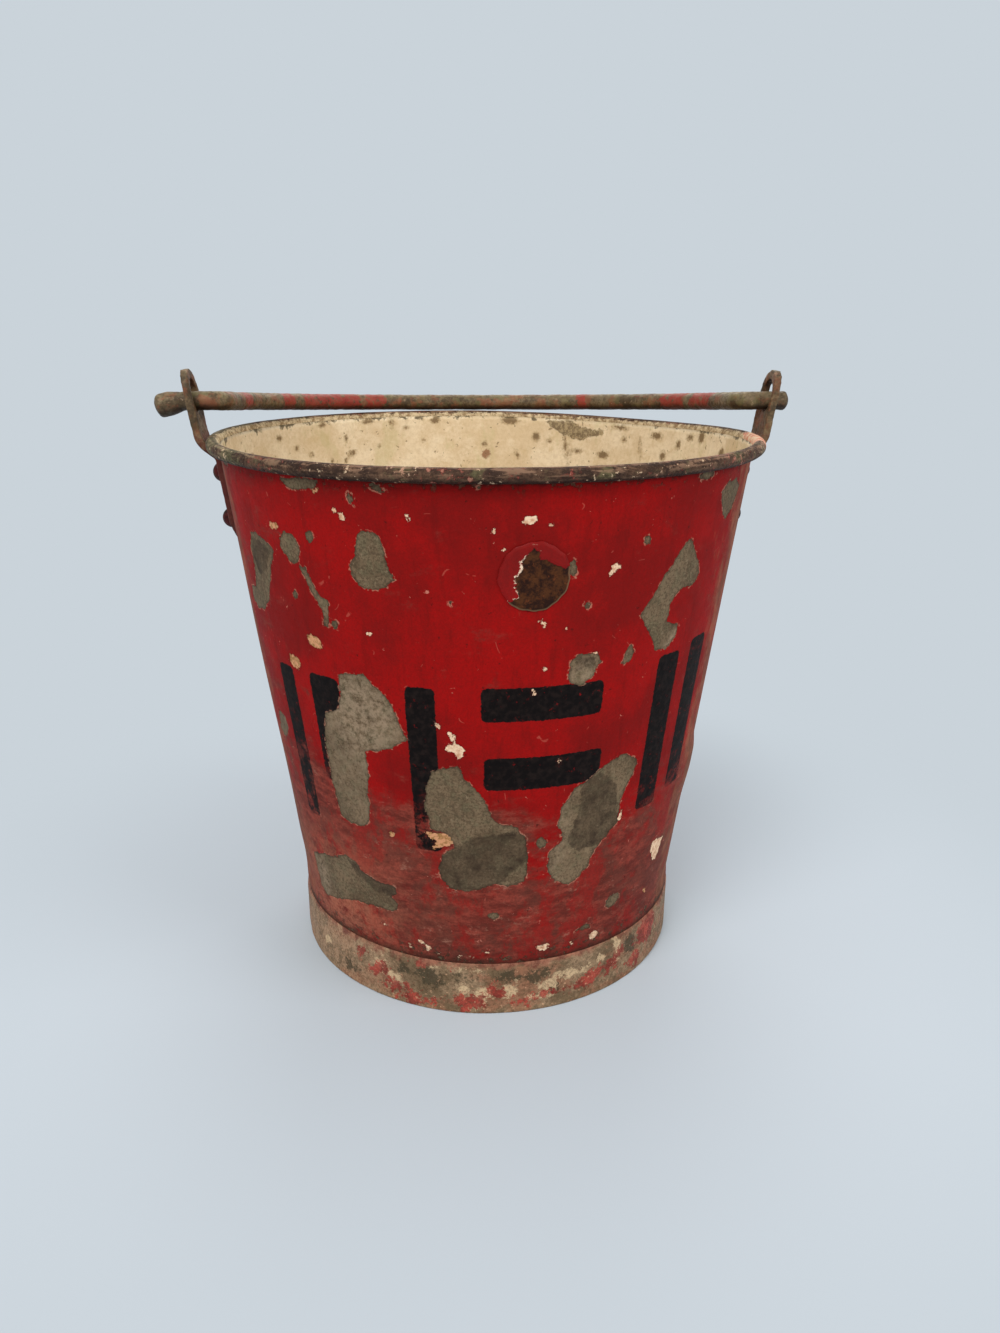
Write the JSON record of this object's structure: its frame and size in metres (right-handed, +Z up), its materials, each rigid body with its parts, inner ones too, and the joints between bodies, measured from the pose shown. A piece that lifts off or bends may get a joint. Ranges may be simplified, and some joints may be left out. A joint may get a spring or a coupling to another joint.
{
  "type": "rusty metal bucket",
  "caption": "Tapered riveted sheet-metal fire bucket with a rolled rim, hoop foot, eyed ears and a swinging round-bar bail.",
  "frame": {"origin": "centre of the foot ring, on the floor that the bucket stands on", "axes": "+Z up along the bucket's axis, +X through the right ear as seen from the front, -Y to the front with the disc; the bail lies folded back at +Y"},
  "size_m": [0.3371, 0.2966, 0.323],
  "materials": {
    "red_paint": "aged oil paint, chipped to grey zinc",
    "cream_paint": "aged cream oil paint, spotted with rust",
    "zinc": "dulled zinc with traces of paint",
    "bare_iron": "handled wrought iron with traces of paint",
    "rust": "brown rust with flakes of paint"
  },
  "bodies": {
    "bucket": {"wall": "red_paint", "rim_wire": "zinc", "base_plate": "cream_paint", "foot_ring": "zinc", "front_disc": "rust", "left_ear": "bare_iron", "right_ear": "bare_iron", "left_upper_rivet": "red_paint", "left_lower_rivet": "red_paint", "right_upper_rivet": "red_paint", "right_lower_rivet": "red_paint"},
    "bail": {"bail": "bare_iron"}
  },
  "joints": [
    {"name": "bail_hinge", "type": "hinge", "parent": "bucket", "child": "bail", "pos_m": [0, 0, 0.3067], "axis": [1, 0, 0], "range_deg": [0, 188.6]}
  ]
}
